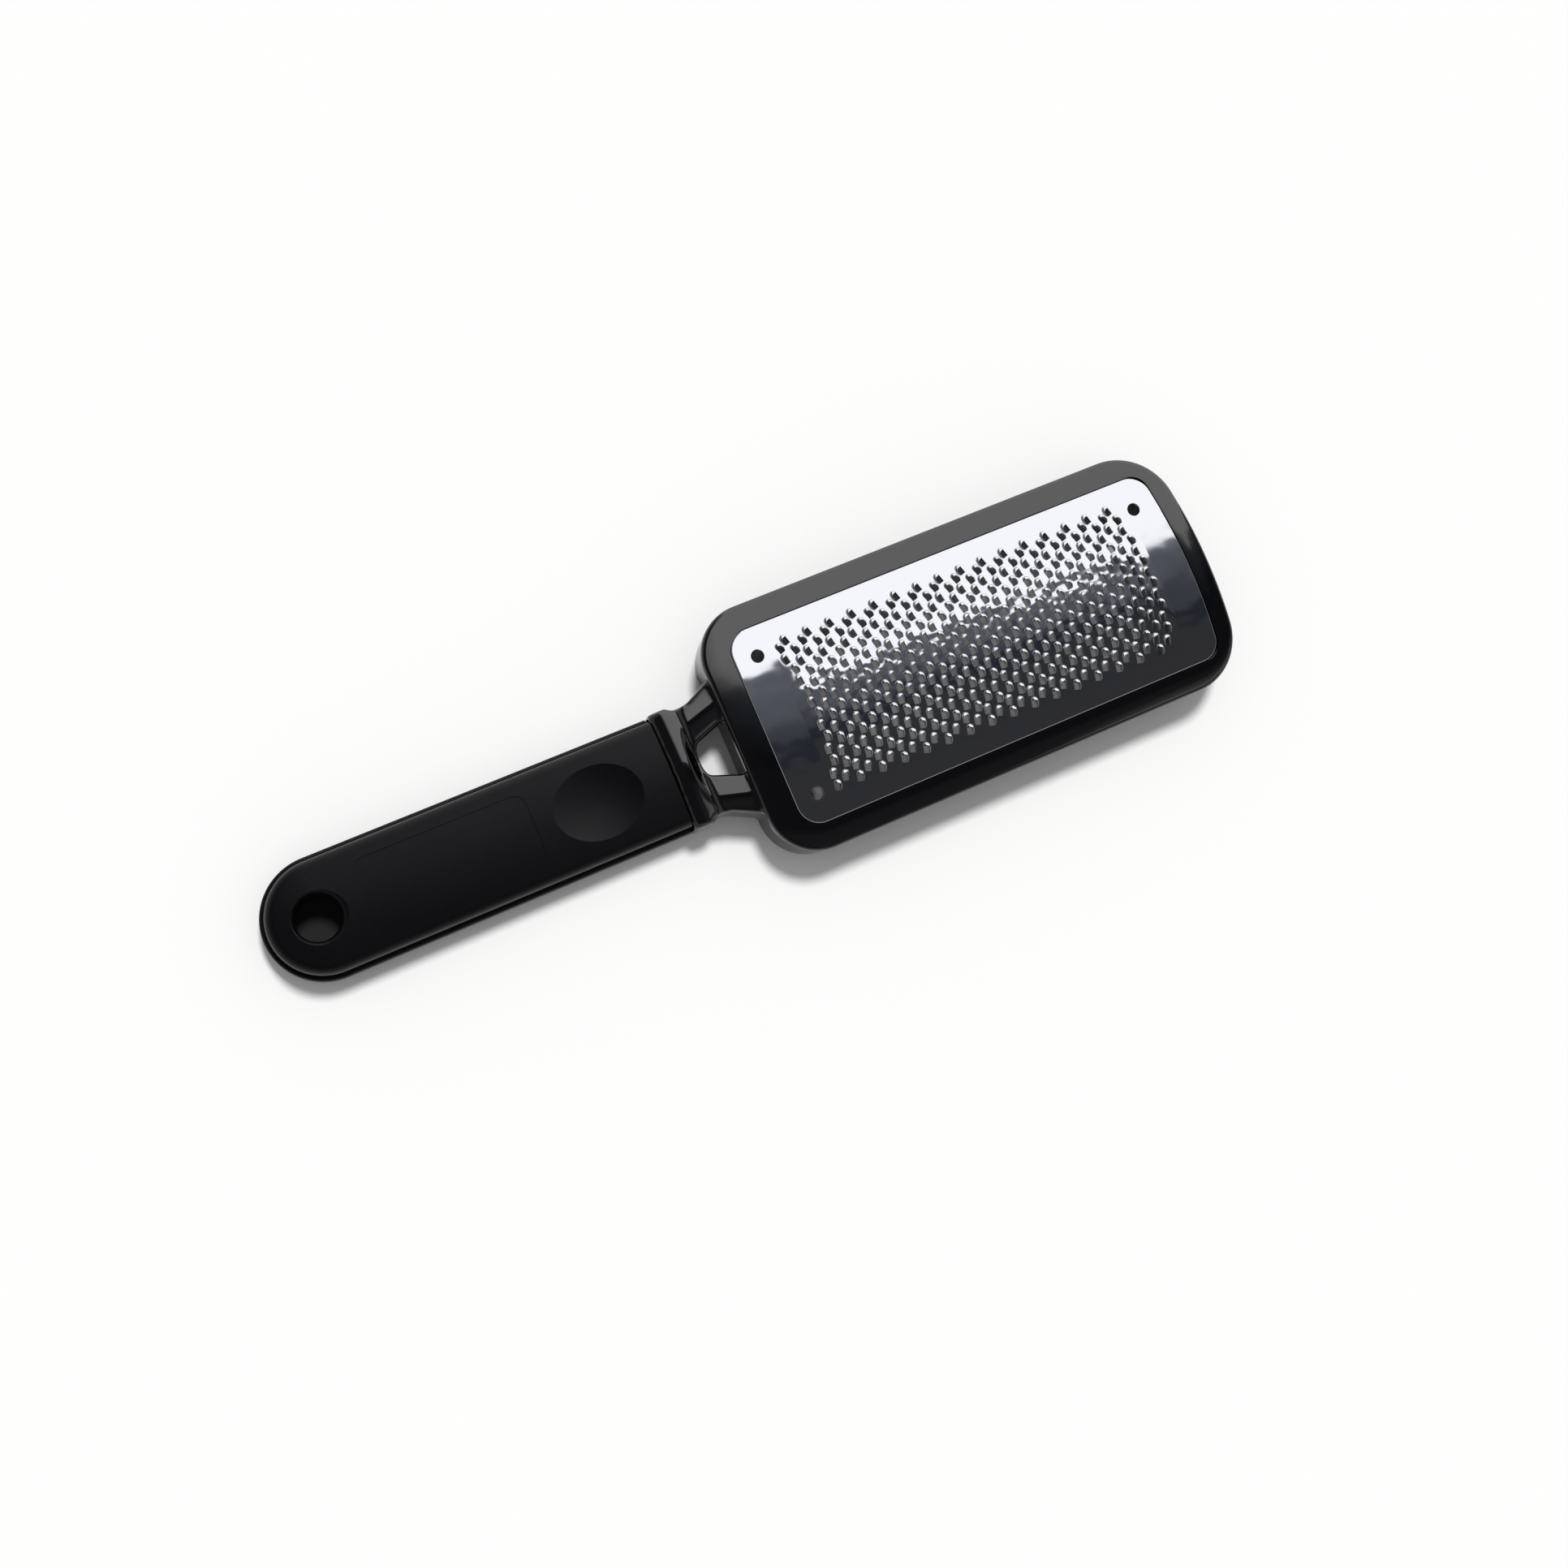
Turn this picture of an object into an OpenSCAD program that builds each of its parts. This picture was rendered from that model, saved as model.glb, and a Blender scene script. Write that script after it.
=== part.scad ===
/* [Head] */
// Length of the head, from the back of its rim to the tip
head_l = 135; // [120:1:150]
// Width of the head
head_w = 64.6; // [58:0.2:74]
// Depth of the head, from its open underside to the top of the rim
head_h = 14.5; // [12:0.5:18]
// Radius of the two corners beside the neck
back_corner_r = 13; // [9:0.5:16]
// Radius of the two corners at the tip
tip_corner_r = 16; // [10:0.5:20]
// Radius of the slightly bowed tip edge
tip_bow_r = 131; // [100:1:200]
// Thickness of the rim that carries the plate
rim_t = 2.6; // [2:0.1:3.5]
// Rounding of the rim's upper outer edge
rim_edge_r = 1.2; // [0.6:0.1:1.8]
// How far the skirt stands back under the rim
skirt_inset = 0.6; // [0.3:0.1:1.5]
// Wall thickness of the skirt
skirt_wall = 2; // [1.4:0.1:3]

/* [Rasp plate] */
// Width of the rim between the neck and the plate
rim_back = 7.5; // [6:0.1:10]
// Width of the rim along each side of the plate
rim_side = 6.3; // [5:0.1:9]
// Width of the rim at the tip
rim_tip = 5.5; // [4.6:0.1:9]
// Radius of the plate opening's corners beside the neck
opening_back_r = 6; // [4:0.5:9]
// Radius of the plate opening's corners at the tip
opening_tip_r = 5; // [4:0.5:9]
// Radius of the plate opening's bowed tip edge
opening_bow_r = 140; // [100:1:220]
// Gap round the plate in its seat
plate_gap = 0.2; // [0.1:0.05:0.4]
// Thickness of the steel plate
plate_t = 0.8; // [0.6:0.1:1.2]
// Height of the plate's face above the rim
plate_proud = 0.1; // [0:0.05:0.3]
// Width of the ledge that the plate's edge lies on
ledge_w = 2; // [1.2:0.1:3]
// Diameter of the plate's three tooling holes
tooling_hole_d = 3.2; // [2.4:0.1:4]
// Distance of the two tooling holes by the neck from the plate's back edge
tooling_back = 6; // [5:0.1:8]
// Distance of those two holes from the plate's sides
tooling_back_side = 7.4; // [6:0.1:9]
// Distance of the tooling hole at the tip from the plate's tip edge
tooling_tip = 8.3; // [6.5:0.1:9.5]
// Distance of that hole from the plate's side
tooling_tip_side = 8.3; // [6:0.1:9]

/* [Teeth] */
// Number of rows across the plate
tooth_rows = 26; // [10:2:26]
// Distance between teeth in a row
tooth_pitch = 6.18; // [5.8:0.02:6.2]
// Distance between rows
row_pitch = 1.53; // [1.46:0.01:1.56]
// How far the columns bow towards the tip at mid width
column_bow = 3.2; // [0:0.1:4]
// Shift of the teeth that curl to the left, against the others
left_shift = 0.6; // [0:0.1:0.8]
// Distance from the plate's back edge to the field's first tooth at mid width
field_back = 14.7; // [14:0.1:17]
// Least distance from the plate's tip edge to the field's last tooth at mid width
field_front = 9; // [8:0.5:14]
// Length of a tooth's opening along the plate
slot_l = 1.7; // [1.3:0.05:1.9]
// Width of a tooth's opening across the plate
slot_w = 2; // [1.5:0.05:2.05]
// How much the curled side of the opening slants
slot_slant = 0.45; // [0.2:0.05:0.7]
// Length of the raised lip along the plate
lip_l = 2.1; // [1.5:0.05:2.4]
// Length of the lip's ramp across the plate
lip_ramp = 0.85; // [0.5:0.05:0.9]
// Height of the lip above the plate
lip_h = 0.5; // [0.2:0.05:0.8]

/* [Neck] */
// Length of the neck between the collar and the head
neck_l = 10.5; // [8:0.5:16]
// Width of the neck where it leaves the collar
neck_w = 28.2; // [24:0.2:29]
// Width of the neck where it joins the head
neck_head_w = 36.4; // [33:0.2:38]
// Straight length of the neck's sides before they flare
neck_straight = 3; // [2:0.5:5]
// Radius of the neck's flare
flare_r = 6; // [3:0.5:10]
// Radius of the fillet between the neck and the head
neck_fillet_r = 1.8; // [0.8:0.1:2]
// Height of the neck's underside
neck_z = 1.5; // [0.5:0.5:4]
// Height of the ridge along each arm
ridge_z = 13.4; // [11.5:0.1:14]
// Distance between the two ridges at the collar
ridge_w = 19; // [17:0.5:21]
// Distance between the two ridges at the head
ridge_head_w = 25; // [22:0.5:28]
// Radius of the arms' crowned upper faces
ridge_r = 16; // [15:0.5:24]
// Distance from the collar to the window
window_back = 1.6; // [1.2:0.1:3]
// Width of the window at the collar
window_w = 7.8; // [6:0.2:10]
// Width of the window at the head
window_head_w = 14.8; // [12:0.2:17]
// Radius of the window's corners
window_r = 1.1; // [0.6:0.1:1.5]

/* [Collar and tang] */
// Length of the collar
collar_l = 6.5; // [5:0.5:10]
// Width of the collar
collar_w = 30.8; // [30.4:0.1:34]
// Height of the collar
collar_h = 13.8; // [13.4:0.1:15]
// Rounding of the collar's upper edges
collar_edge_r = 2; // [1.2:0.1:3]
// Length of the collar's stepped front lip
collar_lip_l = 0.9; // [0.5:0.1:1.5]
// Step between the collar and its front lip
collar_step = 0.8; // [0.4:0.1:1.2]
// Length of the tang inside the grip
tang_l = 78; // [50:1:82]
// Width of the tang
tang_w = 16; // [12:0.5:19]
// Height of the tang
tang_h = 5.5; // [4:0.5:6]
// Height of the tang's underside
tang_z = 3.5; // [2.5:0.5:4.5]
// Clearance round the tang in the grip's socket
tang_gap = 0.1; // [0.05:0.05:0.3]

/* [Grip] */
// Length of the grip
grip_l = 103.8; // [94:0.2:120]
// Width of the grip at its ledge
grip_w = 30.2; // [28:0.2:30.2]
// Height of the grip at its crown
grip_h = 13.2; // [12:0.1:13.3]
// Radius of the crown across the grip
crown_r = 75; // [50:1:150]
// Radius of the shoulders beside the crown
shoulder_r = 2.6; // [1.5:0.1:4]
// Width of the ledge all round the grip
ledge_step = 1.3; // [0.8:0.1:2]
// Height of the ledge
ledge_z = 6.8; // [5.5:0.1:8]
// Rounding of the ledge's edge
ledge_r = 0.8; // [0.4:0.1:1.2]
// Rounding of the grip's lower edge
base_r = 3; // [1.5:0.1:4]
// Thin gap between the grip and the collar
seam = 0.2; // [0.1:0.05:0.4]
// Diameter of the hang hole
hang_d = 11; // [9:0.5:12]
// Rounding of the hang hole's rims
hang_rim_r = 2; // [1:0.1:2.5]
// Distance from the grip's end to the hang hole's centre
hang_back = 13.6; // [13:0.1:16]
// Diameter of the thumb dimple
dimple_d = 22.8; // [18:0.2:24]
// Depth of the thumb dimple
dimple_depth = 1.5; // [0.8:0.1:2]
// Distance from the grip's front face to the dimple's centre
dimple_front = 19.2; // [15:0.1:22]
// Length of the bare panel on the grip
panel_l = 43.4; // [34:0.2:46]
// Width of the bare panel
panel_w = 18.6; // [14:0.2:20]
// Radius of the bare panel's corners
panel_r = 3; // [1.5:0.1:4]
// Depth of the bare panel
panel_depth = 0.2; // [0.1:0.05:0.4]
// Distance from the grip's front face to the bare panel
panel_front = 35.4; // [33:0.1:37]

/* [Hidden] */
$fn = 96;

eps = 0.01;
grid = 0.001;
lap = 0.01;
over = 1;
edge_steps = 5;
corner_steps = 6;
rim_facets = 64;
bow_facets = 360;

overall_l = grip_l + seam + collar_l + neck_l + head_l;
tip_x = overall_l / 2;
head_x = tip_x - head_l;
skirt_x = head_x + skirt_inset;
wall_in = skirt_inset + skirt_wall;
collar_front_x = head_x - neck_l;
collar_x = collar_front_x - collar_l;
grip_front_x = collar_x - seam;
grip_rear_x = -overall_l / 2;
hang_x = grip_rear_x + hang_back;
dimple_x = grip_front_x - dimple_front;

rim_z = head_h - rim_t;
opening_l = head_l - rim_back - rim_tip;
opening_w = head_w - 2 * rim_side;
opening_x = head_x + rim_back;
plate_l = opening_l - 2 * plate_gap;
plate_w = opening_w - 2 * plate_gap;
plate_x = opening_x + plate_gap;
plate_top = head_h + plate_proud;
plate_z = plate_top - plate_t;
tooth_cols = floor((plate_l - field_back - field_front) / tooth_pitch + 0.5);

dome_w = grip_w - 2 * ledge_step;
sphere_r = (pow(dimple_d / 2, 2) + pow(dimple_depth, 2)) / (2 * dimple_depth);

// Distance along a bowed panel to the centres of its two front corners, which just stand out of the bow
function bow_corner_x(l, w, r, bow_r) =
    round((l - bow_r + sqrt(pow(bow_r - r, 2) - pow(w / 2 - r, 2))) / grid) * grid + lap;

// Unit vector from one point to another
function toward(a, b) = (b - a) / norm(b - a);

// Points of the arc that rounds the corner b between its neighbours a and c
function corner_arc(a, b, c, r) =
    let (u = toward(b, a), v = toward(b, c), half = acos(u * v) / 2)
    let (centre = b + (u + v) / norm(u + v) * r / sin(half))
    let (start = b + u * r / tan(half) - centre, end = b + v * r / tan(half) - centre)
    let (from = atan2(start.y, start.x), turn = atan2(end.y, end.x) - from)
    let (sweep = turn > 180 ? turn - 360 : turn < -180 ? turn + 360 : turn)
    [for (i = [0:corner_steps]) centre + r * [cos(from + sweep * i / corner_steps), sin(from + sweep * i / corner_steps)]];

// The closed outline through points with each corner rounded by its radius
function rounded_outline(points, radii) =
    let (n = len(points))
    [for (i = [0:n - 1]) each radii[i] > 0
        ? corner_arc(points[(i + n - 1) % n], points[i], points[(i + 1) % n], radii[i])
        : [points[i]]];

// Flat panel from x = 0 to l: straight at the back and bowed at the far end, with rounded corners
module bowed_panel(l, w, back_r, front_r, bow_r) {
    front_x = bow_corner_x(l, w, front_r, bow_r);
    front_y = w / 2 - front_r;
    spread = front_y / (front_x - l + bow_r);
    translate([0, back_r - w / 2])
        square([front_x, w - 2 * back_r]);
    translate([back_r, -w / 2])
        square([front_x - back_r, w]);
    for (side = [-1, 1]) {
        translate([back_r, side * (w / 2 - back_r)])
            circle(back_r);
        translate([front_x, side * front_y])
            circle(front_r);
    }
    intersection() {
        translate([l - bow_r, 0])
            circle(bow_r, $fn = bow_facets);
        polygon([
            [front_x - eps, -front_y],
            [l + over, -spread * (bow_r + over)],
            [l + over, spread * (bow_r + over)],
            [front_x - eps, front_y]
        ]);
    }
}

// The same panel set back by d all round, with its arcs on the same centres
module inner_panel(l, w, back_r, front_r, bow_r, d) {
    translate([d, 0])
        bowed_panel(l - 2 * d, w - 2 * d, back_r - d, front_r - d, bow_r - d);
}

// Outline of the head, set back by d
module head_outline(d) {
    translate([head_x, 0])
        inner_panel(head_l, head_w, back_corner_r, tip_corner_r, tip_bow_r, d);
}

// The flat top of the head before its opening is cut, with its upper edge rounded all round
module rim() {
    translate([0, 0, rim_z])
        hull()
            for (angle = [0:90 / edge_steps:90])
                linear_extrude(rim_t - rim_edge_r * (1 - sin(angle)))
                    head_outline(rim_edge_r * (1 - cos(angle)), $fn = rim_facets);
}

module skirt() {
    linear_extrude(rim_z + eps)
        difference() {
            head_outline(skirt_inset);
            head_outline(wall_in);
        }
}

// Outline of the opening that the plate lies in, set back by d
module opening_outline(d) {
    translate([opening_x, 0])
        inner_panel(opening_l, opening_w, opening_back_r, opening_tip_r, opening_bow_r, d);
}

// Outline of both arms and what lies between them, from under the collar's lip into the skirt's wall
module neck_outline() {
    side = [
        [collar_front_x - collar_lip_l, neck_w / 2],
        [collar_front_x + neck_straight, neck_w / 2],
        [skirt_x, neck_head_w / 2],
        [skirt_x, neck_head_w / 2 + 2 * neck_fillet_r],
        [head_x + wall_in, neck_head_w / 2 + 2 * neck_fillet_r]
    ];
    radii = [0, flare_r, neck_fillet_r, 0, 0];
    far_side = [for (i = [4:-1:0]) [side[i].x, -side[i].y]];
    far_radii = [for (i = [4:-1:0]) radii[i]];
    polygon(rounded_outline(concat(side, far_side), concat(radii, far_radii)));
}

module window_outline() {
    back_x = collar_front_x + window_back;
    polygon(rounded_outline(
        [
            [back_x, window_w / 2],
            [skirt_x, window_head_w / 2],
            [skirt_x, -window_head_w / 2],
            [back_x, -window_w / 2]
        ],
        [window_r, window_r, window_r, window_r]
    ));
}

// Round bar along one arm whose top line is the arm's ridge
module arm_crown() {
    yaw = atan((ridge_head_w - ridge_w) / 2 / neck_l);
    translate([collar_front_x, ridge_w / 2, ridge_z - ridge_r])
        rotate([0, 90, yaw])
            translate([0, 0, -neck_l])
                cylinder(h = 3 * neck_l, r = ridge_r);
}

module neck() {
    intersection() {
        translate([0, 0, neck_z])
            linear_extrude(ridge_z - neck_z)
                difference() {
                    neck_outline();
                    window_outline();
                }
        union() {
            arm_crown();
            mirror([0, 1, 0])
                arm_crown();
        }
    }
}

// Section of the collar and, set back by d, of its front lip
module collar_section(d) {
    rotate(90)
        bowed_panel(collar_h - d, collar_w - 2 * d, base_r, collar_edge_r, crown_r);
}

module collar() {
    translate([collar_x, 0, 0])
        rotate([90, 0, 90])
            linear_extrude(collar_l - collar_lip_l)
                collar_section(0);
    translate([collar_front_x - collar_lip_l - eps, 0, 0])
        rotate([90, 0, 90])
            linear_extrude(collar_lip_l + eps)
                collar_section(collar_step);
}

// The tang's block from its end inside the grip to the collar, larger by gap on every side
module tang(gap) {
    translate([collar_x - tang_l - gap, -tang_w / 2 - gap, tang_z - gap])
        cube([tang_l + gap + eps, tang_w + 2 * gap, tang_h + 2 * gap]);
}

module frame() {
    color([0.05, 0.05, 0.06])
        difference() {
            union() {
                rim();
                skirt();
                neck();
                collar();
                tang(0);
            }
            translate([0, 0, plate_z])
                linear_extrude(head_h)
                    opening_outline(0);
            translate([0, 0, -eps])
                linear_extrude(head_h)
                    opening_outline(ledge_w);
            translate([0, 0, -eps])
                linear_extrude(rim_z + eps)
                    head_outline(wall_in);
        }
}

// Section across the grip: a domed body with a wider lower half that leaves a ledge
module grip_section() {
    rotate(90)
        bowed_panel(grip_h, dome_w, base_r, shoulder_r, crown_r);
    translate([base_r - grip_w / 2, 0])
        square([grip_w - 2 * base_r, ledge_z]);
    translate([-grip_w / 2, base_r])
        square([grip_w, ledge_z - base_r - ledge_r]);
    translate([ledge_r - grip_w / 2, base_r])
        square([grip_w - 2 * ledge_r, ledge_z - base_r]);
    for (side = [-1, 1]) {
        translate([side * (grip_w / 2 - base_r), base_r])
            circle(base_r);
        translate([side * (grip_w / 2 - ledge_r), ledge_z - ledge_r])
            circle(ledge_r);
    }
}

module grip_body() {
    translate([grip_rear_x + grip_w / 2, 0, 0]) {
        rotate([90, 0, 90])
            linear_extrude(grip_l - grip_w / 2)
                grip_section();
        rotate([0, 0, 90])
            rotate_extrude(angle = 180)
                intersection() {
                    grip_section();
                    square([grip_w, grip_h + over]);
                }
    }
}

// The hang hole with both rims rolled outwards
module hang_hole() {
    roll_r = hang_d / 2 + hang_rim_r;
    translate([hang_x, 0, 0])
        rotate_extrude() {
            translate([0, -over])
                square([hang_d / 2, grip_h + 2 * over]);
            difference() {
                translate([0, -hang_rim_r])
                    square([roll_r, 2 * hang_rim_r]);
                translate([roll_r, hang_rim_r])
                    circle(hang_rim_r);
            }
            difference() {
                translate([0, grip_h - hang_rim_r])
                    square([roll_r, 2 * hang_rim_r]);
                translate([roll_r, grip_h - hang_rim_r])
                    circle(hang_rim_r);
            }
        }
}

// What is cut for the bare panel: its outline above a crown that lies lower by its depth
module panel_cut() {
    translate([grip_front_x - panel_front - panel_l / 2, 0, 0])
        difference() {
            linear_extrude(grip_h + over)
                polygon(rounded_outline(
                    [
                        [-panel_l / 2, -panel_w / 2],
                        [panel_l / 2, -panel_w / 2],
                        [panel_l / 2, panel_w / 2],
                        [-panel_l / 2, panel_w / 2]
                    ],
                    [panel_r, panel_r, panel_r, panel_r]
                ));
            translate([-panel_l, 0, grip_h - panel_depth - crown_r])
                rotate([0, 90, 0])
                    cylinder(h = 2 * panel_l, r = crown_r, $fn = bow_facets);
        }
}

module grip() {
    color([0.09, 0.09, 0.1])
        difference() {
            grip_body();
            tang(tang_gap);
            hang_hole();
            translate([dimple_x, 0, grip_h - dimple_depth + sphere_r])
                sphere(sphere_r);
            panel_cut();
        }
}

// Rows come in pairs that curl the same way; the first row is alone
function curls_left(row) = floor((row + 1) / 2) % 2 == 0;

function tooth_x(row, col) =
    let (across = (2 * row - tooth_rows + 1) / (tooth_rows - 1))
    plate_x + field_back + col * tooth_pitch + (row % 2 == 0 ? tooth_pitch / 2 : 0)
        - column_bow * across * across - (curls_left(row) ? left_shift : 0);

function tooth_y(row) = ((tooth_rows - 1) / 2 - row) * row_pitch;

// Places its children at every tooth, mirrored where the tooth curls to the left
module at_teeth() {
    for (row = [0:tooth_rows - 1])
        for (col = [0:tooth_cols - 1])
            translate([tooth_x(row, col), tooth_y(row), 0])
                mirror([curls_left(row) ? 1 : 0, 0, 0])
                    children();
}

module slot_outline() {
    polygon([
        [-slot_l / 2, -slot_w / 2],
        [slot_l / 2, -slot_w / 2],
        [slot_l / 2 - slot_slant, slot_w / 2],
        [-slot_l / 2, slot_w / 2]
    ]);
}

// One raised lip, a ramp that rises to the far edge of its opening
module lip() {
    root = plate_t / 4;
    translate([-slot_l / 2, slot_w / 2, plate_top - root])
        rotate([90, 0, 90])
            linear_extrude(lip_l)
                polygon([[0, 0], [lip_ramp, 0], [lip_ramp, root], [0, root + lip_h]]);
}

module rasp_plate() {
    color([0.75, 0.76, 0.78]) {
        translate([0, 0, plate_z])
            linear_extrude(plate_t)
                difference() {
                    opening_outline(plate_gap);
                    at_teeth()
                        slot_outline();
                    for (side = [-1, 1])
                        translate([plate_x + tooling_back, side * (plate_w / 2 - tooling_back_side)])
                            circle(d = tooling_hole_d);
                    translate([plate_x + plate_l - tooling_tip, plate_w / 2 - tooling_tip_side])
                        circle(d = tooling_hole_d);
                }
        at_teeth()
            lip();
    }
}

frame();
grip();
rasp_plate();
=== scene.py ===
"""Foot file: finishes for the moulded frame and grip, the stamped rasp plate, and the studio"""

import math

import bmesh
import bpy
from bpy.props import FloatProperty, FloatVectorProperty, IntProperty, PointerProperty
from mathutils import Matrix, Vector


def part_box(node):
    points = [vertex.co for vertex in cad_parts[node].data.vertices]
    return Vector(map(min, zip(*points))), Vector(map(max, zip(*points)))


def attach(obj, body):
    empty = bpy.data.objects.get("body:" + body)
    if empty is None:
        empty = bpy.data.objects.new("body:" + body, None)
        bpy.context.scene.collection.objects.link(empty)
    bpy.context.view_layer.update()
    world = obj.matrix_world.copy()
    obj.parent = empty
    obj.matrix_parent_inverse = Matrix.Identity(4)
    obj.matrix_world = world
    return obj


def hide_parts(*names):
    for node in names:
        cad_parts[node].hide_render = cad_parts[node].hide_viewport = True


bl_info = {
    "name": "Foot File",
    "version": (1, 0, 0),
    "blender": (4, 5, 0),
    "location": "View3D > Sidebar > Foot File",
    "description": "Dresses a paddle foot file and sets up its studio",
    "category": "Object",
}

MM = 0.001

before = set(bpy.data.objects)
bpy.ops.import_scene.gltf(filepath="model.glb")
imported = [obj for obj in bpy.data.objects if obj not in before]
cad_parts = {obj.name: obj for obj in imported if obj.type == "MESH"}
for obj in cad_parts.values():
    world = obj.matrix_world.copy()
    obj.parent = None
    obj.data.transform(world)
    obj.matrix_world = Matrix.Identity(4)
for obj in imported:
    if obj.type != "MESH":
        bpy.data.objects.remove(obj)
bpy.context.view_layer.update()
PLATE_LOW, PLATE_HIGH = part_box("rasp_plate")

# Corners this close are one, and an edge this close to a height lies at it
WELD = 0.001 * MM
# A face this close to a height, or a corner this close to a cut, lies in it
NEAR = 1e-7

# Along X: how the rounded neck meets the head and the tang, which keep the node's own mesh
HEAD_REACH = 0.05 * MM  # the head's mesh runs this far behind its back wall
TANG_GAP = 0.3 * MM  # the tang's mesh ends this far behind the collar's back face
NECK_REACH = 1.0 * MM  # the neck is cut off this far inside the head before it is rounded
NECK_PUSH = 0.35 * MM  # its end is pushed this much deeper into the head's wall
PUSH_START, PUSH_LENGTH = 0.2 * MM, 0.25 * MM  # from here behind the wall, growing over this

# The collar's front corner is smoothed more, this far to both sides
FRONT_REACH = 1.8 * MM
FRONT_PASSES = 2  # times the passes of the rest

# The collar's crown, in shares of the collar's half length
CROWN_BACK = 0.9  # from the front face back to the highest ring
CROWN_END, CROWN_FADE = 0.9, 0.5  # where the fall stops, and how softly
CROWN_FOOT, CROWN_RISE = 3 * MM, 5 * MM  # no fall below this height, all of it this much above

# Edges sharper than these angles in degrees stay sharp
MOULD_CREASE, SHEET_CREASE, NO_CREASE = 30, 50, 180
# A face whose normal has at least this Z is flat sheet
FLAT_Z = 0.9999

# The plate's outline
CORNER_SEGMENTS, TIP_CUTS = 9, 23
# Its edge below the face: depth, and how far it still stands back
EDGE_RINGS = ((0.1 * MM, 0.06 * MM), (0.3 * MM, 0.0))

# The three tooling holes: from the plate's back edge, and from its middle
TOOLING_HOLES = ((6.0 * MM, 18.4 * MM), (6.0 * MM, -18.4 * MM), (113.7 * MM, 17.5 * MM))
HOLE_BEVEL, HOLE_SEGMENTS = 0.12 * MM, 32

# The whole field of teeth lies this far to +Y of the plate's middle
FIELD_SHIFT = 0.2 * MM

# A tooth's opening, in shares of its half length and half width, from its flat side round
TOOTH_CORNERS = ((-1, -1), (0.8, -1), (1, -0.8), (1, 0.42), (0.66, 0.86), (0.1, 1), (-1, 1))
TOOTH_ROUNDED = slice(1, 5)  # the corners that are rounded
TOOTH_ROUNDING = 0.12 * MM
TOOTH_LONG_EDGE = 0.6 * MM  # longer edges get a point in their middle
TOOTH_FOOT = 0.04 * MM  # width of the slope where nothing is raised
# Rings down the outer slope: share of its width, and share of the height that is left
OUTER_RINGS = ((0.35, 0.94), (0.35, 0.72), (0.15, 0.4), (0.15, 0))
LIP_DEPTH, LIP_INSET, WALL_INSET = 0.12 * MM, 0.05 * MM, 0.02 * MM

# The raised edge in degrees round the opening: its middle, its end and how long it fades
HOOD_MIDDLE, HOOD_END, HOOD_FADE = 48, 98, 38

# Plastics: noise scales per metre, and the height of the slow unevenness
CLOUD_SCALE = 45
SINK_SCALE, SINK_HEIGHT = 60, 0.02 * MM

# Steel: noise scales per metre, and heights of the unevenness
WAVE_SCALE, WAVE_HEIGHT = 38, 0.07 * MM
RIPPLE_SCALE, RIPPLE_HEIGHT = 150, 0.012 * MM
ROLLING_SCALE, ROLLING_HEIGHT = (60, 2600, 60), 0.0001 * MM
ROLLING_ROUGHNESS = 0.02
DENT_SCALE, DENT_HEIGHT = 260, 0.03 * MM
DOME_HALF_WIDTH, DOME_HEIGHT = 20 * MM, 0.14 * MM
# The field of teeth, where stamping has dented and domed the sheet
FIELD_MIDDLE, FIELD_HALF_LENGTH, FIELD_HALF_WIDTH = 62 * MM, 51 * MM, 23 * MM
FIELD_FADE = 4 * MM

# Painted shade on the floor under the tool: middle along X, half length, half width,
# how dark, and how square
PAINTED_FLOOR_SHADES = (
    (-114.4 * MM, 7.5 * MM, 7.5 * MM, 0.97, 2),  # painted shade under the hang hole
    (62 * MM, 56 * MM, 23 * MM, 0.3, 8),  # painted shade under the open head
)
# How sharply the painted shade fades at its edge
PAINTED_SHADE_STEEPNESS = 4
FLOOR_COLOUR = (0.985, 0.985, 0.98)

# What matt surfaces get from all round
GROUND_LIGHT = (0.36, 0.36, 0.36)
# What glossy surfaces mirror. A direction is read where it meets a ceiling 1 m up: metres
# along X and metres across Y. The ramp covers this strip of ceiling, and its stops give the
# place in the strip and the colour.
STRIP_START, STRIP_WIDTH = -0.2, 0.4
CEILING = (
    (0.0, (0.13, 0.13, 0.14)),
    (0.36, (0.1, 0.1, 0.11)),
    (0.46, (0.045, 0.045, 0.05)),
    (0.664, (0.052, 0.052, 0.056)),
    (0.672, (0.028, 0.031, 0.045)),
    (0.688, (0.034, 0.038, 0.052)),
    (0.694, (0.07, 0.075, 0.09)),
    (0.72, (0.08, 0.085, 0.105)),
    (0.728, (0.12, 0.13, 0.15)),
    (0.786, (0.16, 0.17, 0.2)),
    (0.79, (1.74, 1.74, 1.77)),  # the white card's edge
    (1.0, (1.72, 1.72, 1.75)),
)
LOWEST_RISE = 0.02  # keeps directions near the horizon finite
SLANT, SLANT_REACH = 0.038, 0.6  # how the bands slant, and how far along
SKEW = 0.16  # how they turn beyond that
# Behind this place along X the ceiling is even
BACK_COLOUR, BACK_PLACE, BACK_STEEPNESS = (0.07, 0.07, 0.077), -0.1, 4
# A dim card on the near side: middle and half size along and across
CARD_ALONG, CARD_ACROSS = (0.8, 0.45), (-0.4, 0.32)
CARD_STRENGTH, CARD_STEEPNESS = 0.9, 8
# A dim light round the horizon, below this rise
HORIZON_RISE, HORIZON_STRENGTH, HORIZON_STEEPNESS = 0.66, 0.4, 5

SENSOR_WIDTH, CLIP_START = 36, 0.01


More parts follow.
